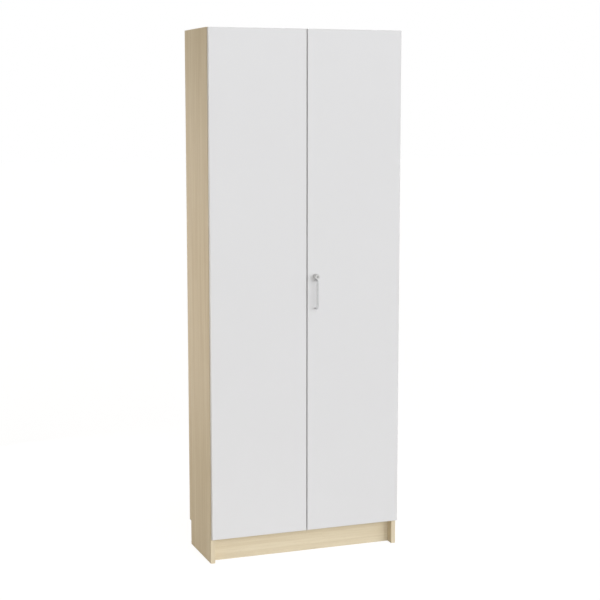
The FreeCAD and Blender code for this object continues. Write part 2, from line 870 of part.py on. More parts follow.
def lock_cam():
    """Cam on the plug's end, hanging down when the lock is open."""
    spot = Vec(lock_x, plug_end, lock_height)
    along = Vec(0, 1, 0)
    disc = rod(spot, along, lock_cam_half_width, lock_cam_thickness)
    tongue = box(lock_x - lock_cam_half_width, lock_x + lock_cam_half_width, plug_end,
                 plug_end + lock_cam_thickness, lock_height - lock_cam_reach, lock_height)
    tongue = tongue.makeFillet(lock_cam_half_width / 2,
                               edges_along(tongue, 1, lambda p: p.z < lock_height - lock_cam_reach / 2))
    return disc.fuse(tongue).removeSplitter().cut(cam_screw_hole())


def cam_screw():
    """Screw that holds the cam on the plug."""
    spot = Vec(lock_x, plug_end + lock_cam_thickness, lock_height)
    head = rod(spot, Vec(0, 1, 0), cam_screw_head_radius, cam_screw_head_height)
    return head.fuse(cam_screw_hole()).removeSplitter()


def keeper_screw_places():
    """Seats of the keeper screws on the partition, and their direction."""
    line = plug_end - lock_keeper_behind_cam - lock_keeper_thickness + lock_keeper_screw_line
    face = partition_half + lock_keeper_thickness
    lifts = (-lock_keeper_screw_spacing / 2, lock_keeper_screw_spacing / 2)
    return [(Vec(face, line, lock_height + lift), Vec(-1, 0, 0)) for lift in lifts]


def lock_keeper():
    """Angle on the partition whose lip the cam turns behind."""
    lip_back = plug_end - lock_keeper_behind_cam
    lip_front = lip_back - lock_keeper_thickness
    low = lock_height - lock_keeper_height / 2
    high = lock_height + lock_keeper_height / 2
    leaf_face = partition_half + lock_keeper_thickness
    leaf = box(partition_half, leaf_face, lip_front, lip_front + lock_keeper_depth, low, high)
    lip = box(partition_half, partition_half + lock_keeper_lip, lip_front, lip_back, low, high)
    body = leaf.fuse(lip).removeSplitter()
    holes = [rod(seat, way, screw_radius + pin_clearance, lock_keeper_thickness)
             for seat, way in keeper_screw_places()]
    return cut_all(body, holes)


# Pull handle

def handle_levels():
    """Levels of the handle's two feet."""
    return (handle_middle_height - handle_spacing / 2, handle_middle_height + handle_spacing / 2)


def pull_handle():
    """Bow handle bent from round rod, with a blind screw hole in each foot."""
    low, high = handle_levels()
    bar = door_front - handle_reach + handle_rod_radius
    points = [Vec(handle_x, door_front, low), Vec(handle_x, bar, low),
              Vec(handle_x, bar, high), Vec(handle_x, door_front, high)]
    bow = bent_rod(points, handle_bend, handle_rod_radius)
    holes = [rod(Vec(handle_x, door_front, level), Vec(0, -1, 0), handle_screw_radius, handle_screw_grip)
             for level in (low, high)]
    return cut_all(bow, holes)


def handle_screws():
    """Screws from behind the door into the handle's feet."""
    length = door_thickness + handle_screw_grip
    seats = [Vec(handle_x, door_back, level) for level in handle_levels()]
    return Part.makeCompound([screw(seat, Vec(0, -1, 0), handle_screw_radius, length) for seat in seats])


def all_nodes():
    """Every node of the cupboard by name."""
    nodes = {
        "left_side_panel": left_side_panel(),
        "right_side_panel": right_side_panel(),
        "top_panel": horizontal_panel(top_under, bolt_hole("top")),
        "bottom_panel": horizontal_panel(plinth_height, bolt_hole("bottom")),
        "back_panel": back_panel(),
        "partition": partition(),
        "front_plinth": plinth(front + plinth_recess),
        "rear_plinth": plinth(back_panel_front - rear_plinth_inset),
        "left_wall_rail": left_wall_rail(),
        "right_wall_rail": mirrored(left_wall_rail()),
        "cam_discs": cam_discs(),
        "cam_bolts": cam_bolts(),
        "carcass_dowels": carcass_dowels(),
        "hat_shelf": shelf(-inner_half, -partition_half, hat_shelf_height),
        "shelf_pins": shelf_pins(),
        "hook_rail": hook_rail(),
        "tool_hooks": tool_hooks(),
        "hook_screws": screws(hook_screw_places()),
        "lock_keeper": lock_keeper(),
        "keeper_screws": screws(keeper_screw_places()),
        "right_door_panel": right_door_panel(),
        "left_door_panel": left_door_panel(),
        "case_screws": screws(case_screw_places()),
        "lock_housing": lock_housing(),
        "lock_nut": lock_nut(),
        "lock_plug": lock_plug(),
        "lock_cam": lock_cam(),
        "cam_screw": cam_screw(),
        "pull_handle": pull_handle(),
        "handle_screws": handle_screws(),
    }
    for number, low in enumerate(shelf_heights, 1):
        nodes["shelf_%d" % number] = shelf(partition_half, inner_half, low)
    for end in bolt_ends():
        nodes[end + "_bolt_case"] = bolt_case(end)
        nodes[end + "_bolt"] = sliding_bolt(end)
        nodes[end + "_bolt_keeper"] = bolt_keeper(end)
    hinge_sets = {
        "hinge_plates": hinge_plates(),
        "hinge_arms": hinge_arms(),
        "hinge_cups": hinge_cups(),
        "hinge_pins": hinge_pins(),
        "plate_screws": screws(plate_screw_places()),
        "arm_screws": arm_screws(),
        "cup_screws": screws(cup_screw_places()),
        "door_bumpers": door_bumpers(),
    }
    for name, shape in hinge_sets.items():
        nodes["left_" + name] = shape
        nodes["right_" + name] = mirrored(shape)
    return nodes


os.makedirs("parts", exist_ok=True)
for node, solid in all_nodes().items():
    solid.exportStep("parts/%s.step" % node)
print("hinge pivot", round(pivot_x, 3), round(pivot_y, 3), "front", round(front, 3), "back", round(back, 3))
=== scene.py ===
import json
import math

import bpy
from mathutils import Matrix, Vector


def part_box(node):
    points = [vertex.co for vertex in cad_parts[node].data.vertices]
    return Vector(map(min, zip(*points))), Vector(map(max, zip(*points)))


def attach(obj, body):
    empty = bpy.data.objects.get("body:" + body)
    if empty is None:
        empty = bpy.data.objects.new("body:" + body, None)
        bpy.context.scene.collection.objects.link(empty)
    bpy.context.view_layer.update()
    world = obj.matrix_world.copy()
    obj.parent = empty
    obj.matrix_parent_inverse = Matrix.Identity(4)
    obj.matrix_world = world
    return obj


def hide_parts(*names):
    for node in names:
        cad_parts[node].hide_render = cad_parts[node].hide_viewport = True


# Looks of a two-door broom cupboard: birch-look boards, light grey-white doors, satin metal fittings.
# Metres, +Z up, the doors towards -Y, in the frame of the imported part.

MM = 0.001
WHITE = (1.0, 1.0, 1.0, 1.0)

# Camera of the photograph
CAMERA_PLACE = Vector((-1.9744, -5.3834, 1.8057))
CAMERA_BEARING = math.radians(20.364)
CAMERA_DIP = math.radians(7.767)
FOCAL_PIXELS = 1426.8
IMAGE_PIXELS = 600.0
SENSOR_MM = 36.0

# Suns and air; a sun's level is what a white card that faces it would show
KEY_LEVEL = 0.405
KEY_BEARING = math.radians(42.0)
KEY_HEIGHT = math.radians(12.0)
KEY_SPREAD = math.radians(50.0)
FILL_LEVEL = 0.574
FILL_BEARING = math.radians(2.0)
FILL_HEIGHT = math.radians(9.0)
FILL_SPREAD = math.radians(60.0)
SUN_COLOUR = (0.942, 0.957, 1.0)
AMBIENT_LEVEL = 0.313
AMBIENT_COLOUR = (1.0, 0.95, 0.85, 1.0)

# Soft lamps; a size is width and height, and a lamp shines away from its back
FULL_SPREAD = math.pi
SIDE_LAMP_WATTS = 5.3
SIDE_LAMP_PLACE = Vector((-2.1, 0.05, 1.2))
SIDE_LAMP_BACK = Vector((-1, 0, 0))
SIDE_LAMP_SIZE = (0.7, 0.7)
SIDE_LAMP_COLOUR = (1.0, 0.72, 0.42)
REAR_LAMP_WATTS = 8.0
REAR_LAMP_PLACE = Vector((0.0, 3.0, 1.2))
REAR_LAMP_BACK = Vector((0, 1, 0))
REAR_LAMP_SIZE = (1.2, 1.2)
REAR_LAMP_SPREAD = math.radians(65.0)
TALL_LAMP_WATTS = 7.1
TALL_LAMP_PLACE = Vector((-1.02, 2.11, 1.0))
TALL_LAMP_BACK = Vector((-0.62, 2.11, 0.0))
TALL_LAMP_SIZE = (0.6, 1.9)

# Floor: the tone that lights the cupboard, then the glow and the tone that are seen
FLOOR_SIZE = 80.0
FLOOR_TONE = 0.80
FLOOR_SHOWN_GLOW = 0.895
FLOOR_SHOWN_TONE = 0.22

# Making of the forms
MERGE_REACH = 0.001 * MM
SMOOTH_ANGLE = math.radians(30.0)
RING_TURN = (math.pi / 2, 0, 0)
RIM_STEPS = 5

# Pull handle, a bow bent from round rod
HANDLE_SIDES = 32
HANDLE_BEND = 11.0 * MM
BEND_STEPS = 12

# Cylinder lock
LOCK_SIDES = 64
LOCK_RIM = 1.5 * MM
LOCK_BARREL_RADIUS = 8.0 * MM
LOCK_RING_WIDTH = 1.1 * MM
LOCK_RING_DEPTH = 0.5 * MM
PLUG_PLAY = 0.1 * MM
PLUG_EASE = 0.4 * MM
KEYWAY_WIDTH = 1.8 * MM
KEYWAY_HEIGHT = 7.0 * MM
KEYWAY_DEPTH = 4.0 * MM
WARD_WIDTH = 0.8 * MM
WARD_HEIGHT = KEYWAY_HEIGHT / 4
WARD_DROP = KEYWAY_HEIGHT / 4

# Screws: pan heads with a cross recess
SCREW_SIDES = 24
SCREW_SHANK_RADIUS = 2.0 * MM
SCREW_HEAD_HEIGHT = 1.6 * MM
CAM_SCREW_HEAD_HEIGHT = 2.0 * MM
SCREW_HEAD_EASE = 0.9 * MM
RECESS_WIDTH = 0.9 * MM
RECESS_REACH = 0.62
RECESS_DEPTH = 1.0 * MM

# Soft buffers on the doors: a short wall under a dome
BUFFER_SIDES = 32
BUFFER_STEPS = 6
BUFFER_WALL_SHARE = 0.25

# Eased edges of pressed and turned steel
STEEL_EASE = 0.3 * MM
EASE_SEGMENTS = 2
FLAT_ANGLE = math.radians(0.5)
SHARP_ANGLE = math.radians(40.0)

# Colours, linear
BIRCH_LIGHT = (0.779, 0.694, 0.521, 1.0)
BIRCH_DARK = (0.680, 0.585, 0.414, 1.0)
BIRCH_PORE = (0.520, 0.390, 0.235, 1.0)
BAND_TINT = (0.731, 0.641, 0.469, 1.0)
CHIP_LIGHT = (0.620, 0.480, 0.310, 1.0)
CHIP_DARK = (0.300, 0.205, 0.115, 1.0)
DOOR_WHITE = (0.752, 0.754, 0.758, 1.0)
DOOR_SHADE = (0.740, 0.741, 0.744, 1.0)
JOINT_SHADE = (0.420, 0.400, 0.370, 1.0)
FIBRE_LIGHT = (0.430, 0.300, 0.185, 1.0)
FIBRE_DARK = (0.330, 0.218, 0.125, 1.0)
BEECH_LIGHT = (0.640, 0.430, 0.240, 1.0)
BEECH_DARK = (0.520, 0.330, 0.170, 1.0)
SATIN_LIGHT = (0.696, 0.696, 0.700, 1.0)
SATIN_DARK = (0.592, 0.592, 0.596, 1.0)
NICKEL_LIGHT = (0.740, 0.738, 0.730, 1.0)
NICKEL_DARK = (0.640, 0.638, 0.630, 1.0)
# Painted shade: the lock's side wall is coloured darker than its face
NICKEL_WALL_PAINTED_SHADE = (0.600, 0.598, 0.590, 1.0)
# Painted shade: the plug face is coloured darker, as shade spreading round the keyway
NICKEL_PLUG_PAINTED_SHADE = (0.560, 0.558, 0.550, 1.0)
ZINC_LIGHT = (0.600, 0.610, 0.620, 1.0)
ZINC_DARK = (0.470, 0.480, 0.495, 1.0)
# Painted shade: near black inside the keyway
KEYWAY_PAINTED_SHADE = (0.020, 0.020, 0.020, 1.0)
BUFFER_CLEAR = (0.860, 0.870, 0.880, 1.0)

# Wood grain along Z: what is left of Z in each pattern, fineness beside the streaks, shares of the tone
STREAK_DRAW = 0.014
BAND_DRAW = 0.045
PORE_DRAW = 0.05
MIDDLE_FINENESS = 0.16
PORE_FINENESS = 2.2
STREAK_SHARE = 0.34
BAND_SHARE = 0.33
MIDDLE_SHARE = 0.33
PORE_RANGE = (0.66, 0.74)
GRAIN_TONE_RANGE = (0.36, 0.64)

# Board edges: the facing at which edges and bare edges begin, fading of the joint line, bands;
# bare edges face back and down
EDGE_FACING = (0.80, 0.60)
BARE_FACING = (0.5, 0.7)
JOINT_LINE = (0.16 * MM, 0.06 * MM)
EDGE_BAND = 1.0 * MM
DOOR_BAND = 1.5 * MM
BARE_WAYS = (0, 0.8, -0.8)
NO_BARE_WAYS = (0, 0, 0)

# Pressed chips: fineness and share of the flakes and of the dust between them
FLAKE_SCALE = 620.0
DUST_SCALE = 1500.0
FLAKE_SHARE = 0.55
DUST_SHARE = 0.45
CHIP_RANGE = (0.15, 0.85)

# Laminate skin: broad clouds, and what clouds and pearl do to the roughness
CLOUD_SCALE = 3.5
CLOUD_UNEVENNESS = 0.10
PEARL_UNEVENNESS = 0.12

# Satin metal: what is left of Z in its drawn lines, and what lines and patches do to the roughness
LINE_DRAW = 0.03
LINE_UNEVENNESS = 0.16
PATCH_UNEVENNESS = 0.22
METAL_TONE_RANGE = (0.3, 0.7)

# Birch-look boards: fineness of streaks, bands and skin, roughness, shares of the tints, relief, sheen
BIRCH_STREAKS = 700.0
BIRCH_BANDS = 26.0
BIRCH_PEARL = 900.0
BIRCH_MATT = 0.46
BIRCH_PORE_SHARE = 0.35
BIRCH_BAND_SHARE = 0.45
BIRCH_JOINT_SHARE = 0.6
BARE_DULLING = 0.4
BIRCH_RELIEF = 0.03 * MM
BIRCH_SPECULAR = 0.05

# Doors: fineness of the skin, roughness, share of the joint's tint, relief, sheen
DOOR_PEARL = 1300.0
DOOR_MATT = 0.44
DOOR_JOINT_SHARE = 0.5
DOOR_RELIEF = 0.02 * MM
DOOR_SPECULAR = 0.25

# Back: a pair of roughness values, bare and printed
PRINT_FACING = (0.4, 0.6)
BACK_MATT = (0.75, 0.5)
BACK_RELIEF = 0.02 * MM
BACK_SPECULAR = 0.35

# Dowels: a pair of roughness values, light and dark
BEECH_STREAKS = 1600.0
BEECH_BANDS = 120.0
BEECH_MATT = (0.6, 0.7)
BEECH_RELIEF = 0.05 * MM

# Metals: roughness, fineness of lines and patches, relief; the lock's wall (a painted shade on its colour, a
# dulling on its roughness), rings, and the reach of the painted shade in the slot
ZINC_MATT = 0.34
ZINC_LINES = 2600.0
ZINC_PATCHES = 150.0
ZINC_RELIEF = 0.003 * MM
SATIN_MATT = 0.62
SATIN_LINES = 6000.0
SATIN_PATCHES = 120.0
SATIN_RELIEF = 0.003 * MM
NICKEL_MATT = 0.30
NICKEL_LINES = 4000.0
NICKEL_PATCHES = 220.0
NICKEL_RELIEF = 0.002 * MM
NICKEL_FACING = (0.3, 0.8)
NICKEL_WALL_DULLING = 0.45
TURNING_LINES = 26000.0
SLOT_SHADE_START = 0.8 * MM
SLOT_SHADE_END = 2.5 * MM
SLOT_SHADE_MARGIN = 0.5 * MM

# Clear buffers: fineness of the skin, roughness, clearness
BUFFER_PEARL = 900.0
BUFFER_MATT = 0.28
BUFFER_TRANSMISSION = 0.6
BUFFER_IOR = 1.45

# Ways
TOWARD_ROOM = (0, -1, 0)
AXIS = {"x": (1, 0, 0), "y": (0, 1, 0), "z": (0, 0, 1)}
GRAIN_TURN = {"z": (0, 0, 0), "x": (0, math.pi / 2, 0)}

# Boards: node, axis of its grain, axis of its thickness
BOARDS = {
    "left_side_panel": ("z", "x"), "right_side_panel": ("z", "x"), "partition": ("z", "x"),
    "top_panel": ("x", "z"), "bottom_panel": ("x", "z"), "hat_shelf": ("x", "z"),
    "shelf_1": ("x", "z"), "shelf_2": ("x", "z"), "shelf_3": ("x", "z"), "shelf_4": ("x", "z"),
    "front_plinth": ("x", "y"), "rear_plinth": ("x", "y"), "hook_rail": ("x", "y"),
    "left_wall_rail": ("x", "y"), "right_wall_rail": ("x", "y"),
}
DOORS = ["left_door_panel", "right_door_panel"]
BUFFERS = ["left_door_bumpers", "right_door_bumpers"]

# Screws: node, the way its screws go in
SCREW_GROUPS = {
    "hook_screws": (0, 1, 0),
    "keeper_screws": (-1, 0, 0),
    "case_screws": (0, -1, 0),
    "handle_screws": (0, -1, 0),
    "cam_screw": (0, -1, 0),
    "left_plate_screws": (-1, 0, 0),
    "right_plate_screws": (1, 0, 0),
    "left_arm_screws": (-1, 0, 0),
    "right_arm_screws": (1, 0, 0),
    "left_cup_screws": (0, -1, 0),
    "right_cup_screws": (0, -1, 0),
}
EASED_NODES = ["tool_hooks", "lock_keeper", "lock_nut", "lock_cam", "shelf_pins", "cam_discs",
               "top_bolt_case", "bottom_bolt_case", "top_bolt", "bottom_bolt",
               "top_bolt_keeper", "bottom_bolt_keeper",
               "left_hinge_plates", "right_hinge_plates", "left_hinge_arms", "right_hinge_arms",
               "left_hinge_cups", "right_hinge_cups", "left_hinge_pins", "right_hinge_pins"]

# Kinds of socket
VALUE = "NodeSocketFloat"
VECTOR = "NodeSocketVector"
COLOUR = "NodeSocketColor"

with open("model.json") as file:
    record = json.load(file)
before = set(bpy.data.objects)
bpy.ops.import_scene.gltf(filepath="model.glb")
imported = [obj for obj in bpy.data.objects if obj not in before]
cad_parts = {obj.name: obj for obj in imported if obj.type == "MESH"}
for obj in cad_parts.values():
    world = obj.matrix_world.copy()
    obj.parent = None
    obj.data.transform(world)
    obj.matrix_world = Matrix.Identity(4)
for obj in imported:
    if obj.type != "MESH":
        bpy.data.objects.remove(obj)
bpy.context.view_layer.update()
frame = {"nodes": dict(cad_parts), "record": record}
nodes = frame["nodes"]
body_of_node = {}
for body, members in frame["record"]["behaviour"]["bodies"].items():
    for member in members:
        body_of_node[member] = body


# Hand tools

def clear_selection():
    """Leaves edit mode and lets go of everything."""
    if bpy.context.mode != "OBJECT":
        bpy.ops.object.mode_set(mode="OBJECT")
    bpy.ops.object.select_all(action="DESELECT")


def take_up(piece):
    """Makes one piece the only selected one."""
    clear_selection()
    piece.select_set(True)
    bpy.context.view_layer.objects.active = piece


def edit_whole(piece):
    """Takes up a piece in edit mode, with all of it selected."""
    take_up(piece)
    bpy.ops.object.mode_set(mode="EDIT")
    bpy.ops.mesh.select_all(action="SELECT")


def settle(piece):
    """Puts a piece's place, turn and size into its mesh."""
    take_up(piece)
    bpy.ops.object.transform_apply(location=True, rotation=True, scale=True)


def throw_away(piece):
    """Removes a helper and its mesh."""
    mesh = piece.data
    bpy.data.objects.remove(piece, do_unlink=True)
    bpy.data.meshes.remove(mesh)


def join(pieces, name):
    """Makes one named piece of several."""
    take_up(pieces[0])
    for piece in pieces[1:]:
        piece.select_set(True)
    if len(pieces) > 1:
        bpy.ops.object.join()
    whole = bpy.context.view_layer.objects.active
    whole.name = name
    return whole


def new_ring(name, centre, radius, sides):
    """Starts a piece from a ring about a line along Y, left in edit mode with the ring selected."""
    clear_selection()
    bpy.ops.mesh.primitive_circle_add(vertices=sides, radius=radius, location=centre, rotation=RING_TURN)
    piece = bpy.context.object
    piece.name = name
    settle(piece)
    edit_whole(piece)
    return piece


def draw_out(move):
    """Extrudes what is selected along a move."""
    bpy.ops.mesh.extrude_region_move(TRANSFORM_OT_translate={"value": tuple(move)})


def close_up():
    """Merges doubles, turns the faces outwards and leaves edit mode."""
    bpy.ops.mesh.select_all(action="SELECT")
    bpy.ops.mesh.remove_doubles(threshold=MERGE_REACH)
    bpy.ops.mesh.normals_make_consistent(inside=False)
    bpy.ops.object.mode_set(mode="OBJECT")


def turn_outline(name, centre, outline, sides, hollow=False):
    """A piece turned about a line along Y, each (radius, depth) ring of its outline drawn out of the last.

    The depths are along Y from the centre. A hollow piece joins its last ring to its first."""
    radius, depth = outline[0]
    piece = new_ring(name, centre + Vector((0, depth, 0)), radius, sides)
    for next_radius, next_depth in outline[1:]:
        draw_out((0, next_depth - depth, 0))
        grow = next_radius / radius
        middle = centre + Vector((0, next_depth, 0))
        bpy.ops.transform.resize(value=(grow, 1, grow), center_override=tuple(middle))
        radius, depth = next_radius, next_depth
    bpy.ops.mesh.select_all(action="DESELECT")
    bpy.ops.mesh.select_mode(type="EDGE")
    bpy.ops.mesh.select_non_manifold()
    if hollow:
        bpy.ops.mesh.bridge_edge_loops()
    else:
        bpy.ops.mesh.fill_holes(sides=0)
    close_up()
    return piece


def eased_corner(radius, depth, ease):
    """Outline points round an outer corner: from the wall at a radius over to the face at a depth."""
    points = []
    for step in range(RIM_STEPS + 1):
        turn = math.pi / 2 * step / RIM_STEPS
        points.append((radius - ease + ease * math.cos(turn), depth - (ease * math.sin(turn) - ease)))
    return points


def smooth(piece):
    """Shades a piece smooth, with its real corners kept."""
    take_up(piece)
    bpy.ops.object.shade_smooth_by_angle(angle=SMOOTH_ANGLE)


def block(name, centre, size):
    """A block of a size about a centre."""
    clear_selection()
    bpy.ops.mesh.primitive_cube_add(size=1.0, location=centre)
    piece = bpy.context.object
    piece.name = name
    piece.scale = size
    settle(piece)
    return piece


def cut_with(piece, cutter):
    """Cuts one piece out of another and throws the cutter away."""
    take_up(piece)
    modifier = piece.modifiers.new("cut", "BOOLEAN")
    modifier.operation = "DIFFERENCE"
    modifier.solver = "EXACT"
    modifier.object = cutter
    bpy.ops.object.modifier_apply(modifier=modifier.name)
    throw_away(cutter)


def stand_for(piece, *replaced):
    """A piece takes the place and body of CAD nodes."""
    first = replaced[0]
    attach(piece, body_of_node[first])
    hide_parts(*replaced)


def merged_copy(node, name):
    """A copy of a CAD node with its loose triangles joined."""
    piece = bpy.data.objects.new(name, nodes[node].data.copy())
    bpy.context.scene.collection.objects.link(piece)
    piece.data.materials.clear()
    edit_whole(piece)
    bpy.ops.mesh.remove_doubles(threshold=MERGE_REACH)
    bpy.ops.object.mode_set(mode="OBJECT")
    return piece


def solids_of(node):
    """Lowest and highest corner of each separate solid in a CAD node, from low to high."""
    edit_whole(merged_copy(node, "loose_solids"))
    bpy.ops.mesh.separate(type="LOOSE")
    bpy.ops.object.mode_set(mode="OBJECT")
    boxes = []
    for solid in list(bpy.context.selected_objects):
        places = [vertex.co for vertex in solid.data.vertices]
        low = Vector([min(place[i] for place in places) for i in range(3)])
        high = Vector([max(place[i] for place in places) for i in range(3)])
        boxes.append((low, high))
        throw_away(solid)
    return sorted(boxes, key=lambda pair: (round(pair[0].z, 6), pair[0].x, pair[0].y))


# Finer forms that stand for CAD nodes

def bend_rod(centre):
    """Bends the open ring of a rod a quarter turn in the plane of Y and Z."""
    bpy.ops.mesh.spin(steps=BEND_STEPS, angle=math.pi / 2, center=tuple(centre), axis=AXIS["x"])


def model_pull_handle():
    """The bow: out from the door, round a bend, up, round again and back to the door."""
    low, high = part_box("pull_handle")
    rod = (high.x - low.x) / 2
    middle = (low.x + high.x) / 2
    lower_leg = low.z + rod
    upper_leg = high.z - rod
    bar = low.y + rod
    piece = new_ring("bow_handle", (middle, high.y, lower_leg), rod, HANDLE_SIDES)
    draw_out((0, bar + HANDLE_BEND - high.y, 0))
    bend_rod((middle, bar + HANDLE_BEND, lower_leg + HANDLE_BEND))
    draw_out((0, 0, upper_leg - lower_leg - 2 * HANDLE_BEND))
    bend_rod((middle, bar + HANDLE_BEND, upper_leg - HANDLE_BEND))
    draw_out((0, high.y - bar - HANDLE_BEND, 0))
    bpy.ops.mesh.select_all(action="SELECT")
    bpy.ops.mesh.remove_doubles(threshold=MERGE_REACH)
    bpy.ops.mesh.fill_holes(sides=0)
    close_up()
    smooth(piece)
    stand_for(piece, "pull_handle")
    return piece


def lock_axis():
    """The point where the lock's axis meets the front of the door."""
    low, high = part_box("lock_housing")
    return Vector(((low.x + high.x) / 2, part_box("right_door_panel")[0].y, (low.z + high.z) / 2))


def model_lock_head():
    """Housing with an eased rim, a sunk ring round the plug, and its barrel through the door."""
    low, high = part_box("lock_housing")
    plug_low, plug_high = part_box("lock_plug")
    axis = lock_axis()
    head = (high.x - low.x) / 2
    bore = (plug_high.x - plug_low.x) / 2 + PLUG_PLAY
    ring = bore + LOCK_RING_WIDTH
    face = low.y - axis.y
    sunk = face + LOCK_RING_DEPTH
    rear = high.y - axis.y
    outline = [(LOCK_BARREL_RADIUS, rear), (LOCK_BARREL_RADIUS, 0.0), (head, 0.0)]
    outline += eased_corner(head, face, LOCK_RIM)
    outline += [(ring, face), (ring, sunk), (bore, sunk), (bore, rear)]
    piece = turn_outline("lock_head", axis, outline, LOCK_SIDES, hollow=True)
    smooth(piece)
    stand_for(piece, "lock_housing")
    return piece


def model_key_plug():
    """Plug with an eased face and a keyway with a ward along one side."""
    low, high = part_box("lock_plug")
    axis = lock_axis()
    radius = (high.x - low.x) / 2
    face = low.y - axis.y
    outline = [(radius, high.y - axis.y)] + eased_corner(radius, face, PLUG_EASE)
    piece = turn_outline("key_plug", axis, outline, LOCK_SIDES)
    slot_middle = Vector((axis.x, low.y, axis.z))
    cut_with(piece, block("slot_cutter", slot_middle, (KEYWAY_WIDTH, 2 * KEYWAY_DEPTH, KEYWAY_HEIGHT)))
    ward_middle = slot_middle + Vector((KEYWAY_WIDTH / 2, 0, -WARD_DROP))
    cut_with(piece, block("ward_cutter", ward_middle, (WARD_WIDTH, 2 * KEYWAY_DEPTH, WARD_HEIGHT)))
    smooth(piece)
    stand_for(piece, "lock_plug")
    return piece


def model_screw(head, head_height, length):
    """A screw at the origin whose head stands up along -Y and whose shank goes in along +Y."""
    outline = [(SCREW_SHANK_RADIUS, length), (SCREW_SHANK_RADIUS, 0.0)]
    outline += [(head, 0.0), (head, -head_height + SCREW_HEAD_EASE)]
    outline += eased_corner(head, -head_height, SCREW_HEAD_EASE)[1:]
    screw = turn_outline("screw_pattern", Vector((0, 0, 0)), outline, SCREW_SIDES)
    reach = 2 * head * RECESS_REACH
    for width, height in ((reach, RECESS_WIDTH), (RECESS_WIDTH, reach)):
        cut_with(screw, block("recess_cutter", (0, -head_height, 0), (width, 2 * RECESS_DEPTH, height)))
    smooth(screw)
    return screw


def model_screw_group(node, inward):
    """The screws of one CAD node, each a copy of one pattern, turned and set on its seat."""
    inward = Vector(inward)
    along = max(range(3), key=lambda i: abs(inward[i]))
    across = (along + 1) % 3
    boxes = solids_of(node)
    low, high = boxes[0]
    head = (high[across] - low[across]) / 2
    whole = high[along] - low[along]
    head_height = CAM_SCREW_HEAD_HEIGHT if node == "cam_screw" else SCREW_HEAD_HEIGHT
    pattern = model_screw(head, head_height, whole - head_height)
    turn = Vector((0, 1, 0)).rotation_difference(inward).to_matrix().to_4x4()
    copies = []
    for low, high in boxes:
        seat = (low + high) / 2
        start = low[along] if inward[along] > 0 else high[along]
        seat[along] = start + inward[along] * head_height
        copy = bpy.data.objects.new(node, pattern.data.copy())
        bpy.context.scene.collection.objects.link(copy)
        copy.data.transform(Matrix.Translation(seat) @ turn)
        copies.append(copy)
    throw_away(pattern)
    group = join(copies, "cross_head_" + node)
    stand_for(group, node)
    return group


def model_buffers(node):
    """Domed buffers that stand on the back of a door."""
    domes = []
    for low, high in solids_of(node):
        radius = (high.x - low.x) / 2
        height = high.y - low.y
        wall = BUFFER_WALL_SHARE * height
        centre = Vector(((low.x + high.x) / 2, low.y, (low.z + high.z) / 2))
        outline = [(radius, 0.0), (radius, wall)]
        for step in range(1, BUFFER_STEPS):
            turn = math.pi / 2 * step / BUFFER_STEPS
            outline.append((radius * math.cos(turn), wall + (height - wall) * math.sin(turn)))
        domes.append(turn_outline(node + "_dome", centre, outline, BUFFER_SIDES))
    group = join(domes, node + "_domes")
    smooth(group)
    stand_for(group, node)
    return group


def ease_edges(node):
    """A copy of a steel node with its sharp edges rounded a little."""
    piece = merged_copy(node, "eased_" + node)
    edit_whole(piece)
    bpy.ops.mesh.dissolve_limited(angle_limit=FLAT_ANGLE)
    bpy.ops.object.mode_set(mode="OBJECT")
    ease = piece.modifiers.new("ease", "BEVEL")
    ease.width = STEEL_EASE
    ease.segments = EASE_SEGMENTS
    ease.limit_method = "ANGLE"
    ease.angle_limit = SHARP_ANGLE
    bpy.ops.object.modifier_apply(modifier=ease.name)
    smooth(piece)
    stand_for(piece, node)
    return piece


# Shader nodes

def cleared_tree(owner):
    """The emptied node tree of a material or a world."""
    owner.use_nodes = True
    owner.node_tree.nodes.clear()
    return owner.node_tree


def add_node(tree, kind, inputs=None, **settings):
    """A shader node with its settings, and its inputs given as values or as other nodes' sockets."""
    node = tree.nodes.new(kind)
    for name, value in settings.items():
        setattr(node, name, value)
    for socket, value in (inputs or {}).items():
        if isinstance(value, bpy.types.NodeSocket):
            tree.links.new(value, node.inputs[socket])
        else:
            node.inputs[socket].default_value = value
    return node


def link_all(tree, sockets, values):
    """Links values to sockets by name."""
    for name, value in values.items():
        tree.links.new(value, sockets[name])


def math_node(tree, operation, first, second=0.0, clamp=False):
    """The result of an operation on two values."""
    settings = {"operation": operation, "use_clamp": clamp}
    return add_node(tree, "ShaderNodeMath", {0: first, 1: second}, **settings).outputs[0]


def plus(tree, first, second):
    """Two values added."""
    return math_node(tree, "ADD", first, second)


def minus(tree, first, second):
    """One value less another."""
    return math_node(tree, "SUBTRACT", first, second)


def times(tree, first, second):
    """Two values multiplied."""
    return math_node(tree, "MULTIPLY", first, second)


def off_middle(tree, value, share):
    """A share of how far a noise value is off its middle."""
    return times(tree, minus(tree, value, 0.5), share)


def vector_node(tree, operation, first, second=(0, 0, 0), result="Vector"):
    """The result of an operation on two vectors."""
    node = add_node(tree, "ShaderNodeVectorMath", {0: first, 1: second}, operation=operation)
    return node.outputs[result]


def dot(tree, first, second):
    """How far one direction points along another."""
    return vector_node(tree, "DOT_PRODUCT", first, second, "Value")


def drawn_out(tree, vector, left):
    """A vector with only a little left of its Z, so that a pattern on it is drawn out along Z."""
    return vector_node(tree, "MULTIPLY", vector, (1.0, 1.0, left))


def split(tree, vector):
    """The three parts of a vector."""
    return add_node(tree, "ShaderNodeSeparateXYZ", {0: vector}).outputs


def blend_colour(tree, share, first, second):
    """A blend of two colours by a share."""
    mix = add_node(tree, "ShaderNodeMix", {0: share, 6: first, 7: second}, data_type="RGBA")
    return mix.outputs[2]


def ramp(tree, value, start, end, low=0.0, high=1.0):
    """A value carried smoothly from one range to another."""
    inputs = {"Value": value, "From Min": start, "From Max": end, "To Min": low, "To Max": high}
    return add_node(tree, "ShaderNodeMapRange", inputs, interpolation_type="SMOOTHSTEP").outputs[0]


